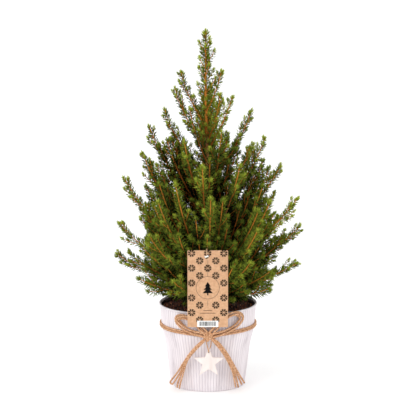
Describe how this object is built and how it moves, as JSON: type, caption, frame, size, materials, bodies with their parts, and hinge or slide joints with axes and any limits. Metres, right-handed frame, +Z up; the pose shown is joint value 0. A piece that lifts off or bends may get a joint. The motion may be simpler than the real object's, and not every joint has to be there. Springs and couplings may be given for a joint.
{
  "type": "potted dwarf conifer",
  "caption": "Small conical spruce in a whitewashed fluted metal pot with a rolled rim, dressed with a twine bow, a wooden star and a plain patterned card tag.",
  "frame": {"origin": "centre of the flat underside of the pot", "axes": "+Z up through the trunk, -Y to the front with the star and the tag, +X to the right as seen from the front"},
  "size_m": [0.2974, 0.2858, 0.583],
  "materials": {
    "zinc": "matte",
    "compost": "matte",
    "bark": "matte",
    "needles": "matte",
    "jute": "matte",
    "wood": "matte",
    "card": "matte",
    "thread": "matte"
  },
  "bodies": {
    "root": {"bough_front_4": "bark", "bough_front_6": "bark", "bough_front_9": "bark", "bough_left_4": "bark", "bough_left_5": "bark", "bough_left_6": "bark", "bough_right_3": "bark", "bough_right_4": "bark", "bough_right_5": "bark", "bough_right_6": "bark", "compost": "compost", "foliage_back_1": "needles", "foliage_back_2": "needles", "foliage_back_3": "needles", "foliage_back_4": "needles", "foliage_back_5": "needles", "foliage_back_6": "needles", "foliage_back_7": "needles", "foliage_core_high": "needles", "foliage_core_low": "needles", "foliage_front_1": "needles", "foliage_front_10": "needles", "foliage_front_11": "needles", "foliage_front_12": "needles", "foliage_front_13": "needles", "foliage_front_2": "needles", "foliage_front_3": "needles", "foliage_front_4": "needles", "foliage_front_5": "needles", "foliage_front_6": "needles", "foliage_front_7": "needles", "foliage_front_8": "needles", "foliage_front_9": "needles", "foliage_leader": "needles", "foliage_left_1": "needles", "foliage_left_2": "needles", "foliage_left_3": "needles", "foliage_left_4": "needles", "foliage_left_5": "needles", "foliage_left_6": "needles", "foliage_right_1": "needles", "foliage_right_2": "needles", "foliage_right_3": "needles", "foliage_right_4": "needles", "foliage_right_5": "needles", "foliage_right_6": "needles", "foliage_top_1": "needles", "foliage_top_2": "needles", "foliage_top_3": "needles", "foliage_top_4": "needles", "foliage_top_5": "needles", "foliage_top_6": "needles", "pot": "zinc", "star": "wood", "star_string": "jute", "tag": "card", "tag_tie": "thread", "trunk": "bark", "twine_band": "jute", "twine_bow": "jute"}
  },
  "joints": []
}
